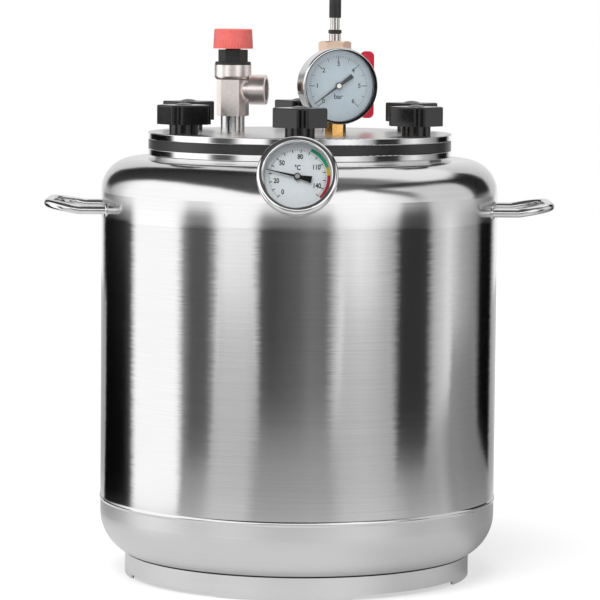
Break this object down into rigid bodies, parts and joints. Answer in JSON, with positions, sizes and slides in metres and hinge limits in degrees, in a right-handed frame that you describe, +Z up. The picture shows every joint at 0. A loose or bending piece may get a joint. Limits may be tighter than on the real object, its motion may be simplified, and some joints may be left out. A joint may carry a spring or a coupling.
{
  "type": "pressure canner",
  "caption": "Upright stainless pressure canner with a flat lid clamped by knobs, a shoulder thermometer, pressure gauge, safety valve and air valve.",
  "frame": {"origin": "floor under the vessel's vertical axis, level with the undersides of the feet", "axes": "+Z up along the vessel's axis, -Y towards the front with the thermometer, +X towards the right handle"},
  "size_m": [0.4678, 0.4031, 0.5376],
  "materials": {
    "satin_steel": "satin",
    "brushed_steel": "brushed",
    "shoulder_steel": "satin",
    "polished_steel": "polished",
    "black_rubber": "smooth",
    "black_plastic": "glossy",
    "cap_plastic": "ribbed",
    "red_plastic": "ribbed",
    "red_enamel": "glossy",
    "nickel_plate": "plated",
    "brass": "turned",
    "chrome": "polished",
    "spring_steel": "drawn",
    "tube_bronze": "drawn",
    "seat_plastic": "smooth",
    "glass": "clear",
    "dial_grey": "printed",
    "dial_blue": "printed",
    "pointer_black": "matt"
  },
  "bodies": {
    "vessel": {"base_ring": "satin_steel", "bottom_head": "satin_steel", "barrel": "brushed_steel", "top_head": "shoulder_steel", "neck_flange": "polished_steel", "clamp_studs": "polished_steel", "handle_right": "polished_steel", "handle_left": "polished_steel", "lid_gasket": "black_rubber", "thermometer_pocket": "polished_steel", "thermometer_case": "polished_steel", "thermometer_bezel": "polished_steel", "thermometer_glass": "glass", "thermometer_dial": "dial_grey", "thermometer_stem": "polished_steel", "thermometer_coil": "spring_steel"},
    "lid": {"lid_plate": "polished_steel", "lid_bushes": "polished_steel", "safety_valve_body": "nickel_plate", "safety_valve_bonnet": "black_plastic", "safety_valve_spring": "spring_steel", "gauge_socket": "brass", "gauge_case": "polished_steel", "gauge_bezel": "polished_steel", "gauge_glass": "glass", "gauge_dial": "dial_blue", "gauge_bourdon_tube": "tube_bronze", "ball_valve_body": "nickel_plate", "ball_valve_end": "nickel_plate", "ball_valve_seats": "seat_plastic", "ball_valve_gland_nut": "nickel_plate", "air_valve_plug": "brass", "air_valve_stem": "nickel_plate", "air_valve_nut": "nickel_plate", "air_valve_seal": "black_rubber"},
    "jar_rack": {"jar_rack": "satin_steel"},
    "safety_cap": {"safety_valve_cap": "red_plastic"},
    "safety_disc": {"safety_valve_disc": "brass"},
    "gauge_pointer": {"gauge_pointer": "pointer_black", "gauge_arbor": "brass"},
    "gauge_sector": {"gauge_sector": "brass"},
    "thermometer_pointer": {"thermometer_pointer": "pointer_black"},
    "ball_handle": {"ball_valve_handle": "red_enamel", "ball_valve_handle_nut": "polished_steel", "ball_valve_stem": "brass", "ball_valve_ball": "chrome"},
    "air_cap": {"air_valve_cap": "cap_plastic"},
    "air_core": {"air_valve_core_pin": "brass"},
    "knob_1_insert": {"knob_1_insert": "brass"},
    "knob_1_grip": {"knob_1_grip": "black_plastic"},
    "knob_2_insert": {"knob_2_insert": "brass"},
    "knob_2_grip": {"knob_2_grip": "black_plastic"},
    "knob_3_insert": {"knob_3_insert": "brass"},
    "knob_3_grip": {"knob_3_grip": "black_plastic"},
    "knob_4_insert": {"knob_4_insert": "brass"},
    "knob_4_grip": {"knob_4_grip": "black_plastic"},
    "knob_5_insert": {"knob_5_insert": "brass"},
    "knob_5_grip": {"knob_5_grip": "black_plastic"},
    "knob_6_insert": {"knob_6_insert": "brass"},
    "knob_6_grip": {"knob_6_grip": "black_plastic"}
  },
  "joints": [
    {"name": "lid_lift", "type": "slide", "parent": "vessel", "child": "lid", "axis": [0, 0, 1], "range_m": [0, 0.15]},
    {"name": "rack_lift", "type": "slide", "parent": "vessel", "child": "jar_rack", "axis": [0, 0, 1], "range_m": [0, 0.28]},
    {"name": "safety_cap_turn", "type": "hinge", "parent": "lid", "child": "safety_cap", "pos_m": [-0.062, 0, 0.48495], "axis": [0, 0, 1], "range_deg": [0, 90]},
    {"name": "safety_disc_lift", "type": "slide", "parent": "lid", "child": "safety_disc", "axis": [0, 0, 1], "range_m": [0, 0.0031], "deforming": ["safety_valve_spring"]},
    {"name": "gauge_pointer_turn", "type": "hinge", "parent": "lid", "child": "gauge_pointer", "pos_m": [0.03647, -0.0705, 0.45295], "axis": [-0.2419, 0.9703, 0], "range_deg": [-9, 261]},
    {"name": "gauge_sector_turn", "type": "hinge", "parent": "lid", "child": "gauge_sector", "pos_m": [0.03647, -0.0705, 0.43576], "axis": [-0.2419, 0.9703, 0], "range_deg": [-45, 3]},
    {"name": "thermometer_pointer_turn", "type": "hinge", "parent": "vessel", "child": "thermometer_pointer", "pos_m": [-0.00181, -0.20779, 0.38065], "axis": [0.0081, 0.9335, -0.3584], "range_deg": [-58, 212]},
    {"name": "ball_handle_turn", "type": "hinge", "parent": "lid", "child": "ball_handle", "pos_m": [0.03212, 0.05303, 0.45145], "axis": [1, 0, 0], "range_deg": [0, 90]},
    {"name": "air_cap_lift", "type": "slide", "parent": "lid", "child": "air_cap", "axis": [0, 0, 1], "range_m": [0, 0.03]},
    {"name": "air_core_press", "type": "slide", "parent": "lid", "child": "air_core", "axis": [0, 0, -1], "range_m": [0, 0.0015], "stiffness_N_per_m": 600, "springref_m": -0.002},
    {"name": "knob_1_rise", "type": "slide", "parent": "lid", "child": "knob_1_insert", "axis": [0, 0, 1], "range_m": [0, 0.0136]},
    {"name": "knob_1_turn", "type": "hinge", "parent": "knob_1_insert", "child": "knob_1_grip", "pos_m": [0.10479, 0.0605, 0.40825], "axis": [0, 0, 1], "range_deg": [0, 3240]},
    {"name": "knob_2_rise", "type": "slide", "parent": "lid", "child": "knob_2_insert", "axis": [0, 0, 1], "range_m": [0, 0.0136]},
    {"name": "knob_2_turn", "type": "hinge", "parent": "knob_2_insert", "child": "knob_2_grip", "pos_m": [0, 0.121, 0.40825], "axis": [0, 0, 1], "range_deg": [0, 3240]},
    {"name": "knob_3_rise", "type": "slide", "parent": "lid", "child": "knob_3_insert", "axis": [0, 0, 1], "range_m": [0, 0.0136]},
    {"name": "knob_3_turn", "type": "hinge", "parent": "knob_3_insert", "child": "knob_3_grip", "pos_m": [-0.10479, 0.0605, 0.40825], "axis": [0, 0, 1], "range_deg": [0, 3240]},
    {"name": "knob_4_rise", "type": "slide", "parent": "lid", "child": "knob_4_insert", "axis": [0, 0, 1], "range_m": [0, 0.0136]},
    {"name": "knob_4_turn", "type": "hinge", "parent": "knob_4_insert", "child": "knob_4_grip", "pos_m": [-0.10479, -0.0605, 0.40825], "axis": [0, 0, 1], "range_deg": [0, 3240]},
    {"name": "knob_5_rise", "type": "slide", "parent": "lid", "child": "knob_5_insert", "axis": [0, 0, 1], "range_m": [0, 0.0136]},
    {"name": "knob_5_turn", "type": "hinge", "parent": "knob_5_insert", "child": "knob_5_grip", "pos_m": [0, -0.121, 0.40825], "axis": [0, 0, 1], "range_deg": [0, 3240]},
    {"name": "knob_6_rise", "type": "slide", "parent": "lid", "child": "knob_6_insert", "axis": [0, 0, 1], "range_m": [0, 0.0136]},
    {"name": "knob_6_turn", "type": "hinge", "parent": "knob_6_insert", "child": "knob_6_grip", "pos_m": [0.10479, -0.0605, 0.40825], "axis": [0, 0, 1], "range_deg": [0, 3240]}
  ],
  "couplings": [
    {"joint": "safety_disc_lift", "follows": "safety_cap_turn", "m_per_rad": 0.0019099},
    {"joint": "gauge_sector_turn", "follows": "gauge_pointer_turn", "ratio": -0.16667},
    {"joint": "knob_1_rise", "follows": "knob_1_turn", "m_per_rad": 0.00023873},
    {"joint": "knob_2_rise", "follows": "knob_2_turn", "m_per_rad": 0.00023873},
    {"joint": "knob_3_rise", "follows": "knob_3_turn", "m_per_rad": 0.00023873},
    {"joint": "knob_4_rise", "follows": "knob_4_turn", "m_per_rad": 0.00023873},
    {"joint": "knob_5_rise", "follows": "knob_5_turn", "m_per_rad": 0.00023873},
    {"joint": "knob_6_rise", "follows": "knob_6_turn", "m_per_rad": 0.00023873}
  ]
}
